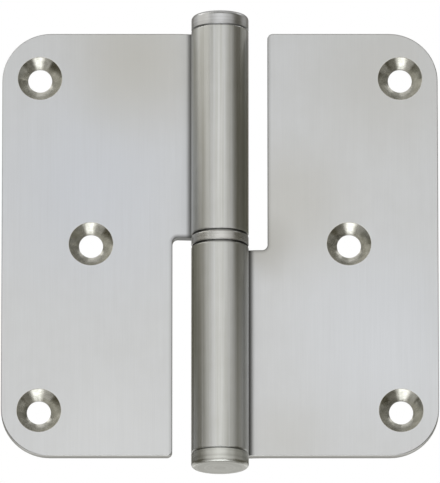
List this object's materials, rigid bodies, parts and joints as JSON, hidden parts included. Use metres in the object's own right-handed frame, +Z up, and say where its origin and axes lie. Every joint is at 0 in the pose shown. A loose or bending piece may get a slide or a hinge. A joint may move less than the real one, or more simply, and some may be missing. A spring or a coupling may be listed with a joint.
{
  "type": "paumelle hinge",
  "caption": "Lift-off door hinge with rolled knuckles, a bearing ring, flat end caps and round-cornered leaves with countersunk screw holes.",
  "frame": {"origin": "on the pin axis at mid-height, which is the centre of the bearing ring", "axes": "+Z up the pin, +X to the frame leaf's side of the open hinge, -Y out of the faces with the countersinks"},
  "size_m": [0.089, 0.0116, 0.095],
  "materials": {
    "satin_sheet": "satin brushed stainless sheet",
    "turned_steel": "satin turned stainless steel",
    "pin_steel": "ground stainless rod"
  },
  "bodies": {
    "frame_side": {"frame_leaf": "satin_sheet", "hinge_pin": "pin_steel", "bottom_cap": "turned_steel"},
    "bearing": {"bearing_ring": "turned_steel"},
    "door_side": {"door_leaf": "satin_sheet", "top_cap": "turned_steel"}
  },
  "joints": [
    {"name": "swing", "type": "hinge", "parent": "frame_side", "child": "bearing", "pos_m": [0, 0, 0], "axis": [0, 0, 1], "range_deg": [-130, 180]},
    {"name": "lift_off", "type": "slide", "parent": "bearing", "child": "door_side", "axis": [0, 0, 1], "range_m": [0, 0.04]}
  ]
}
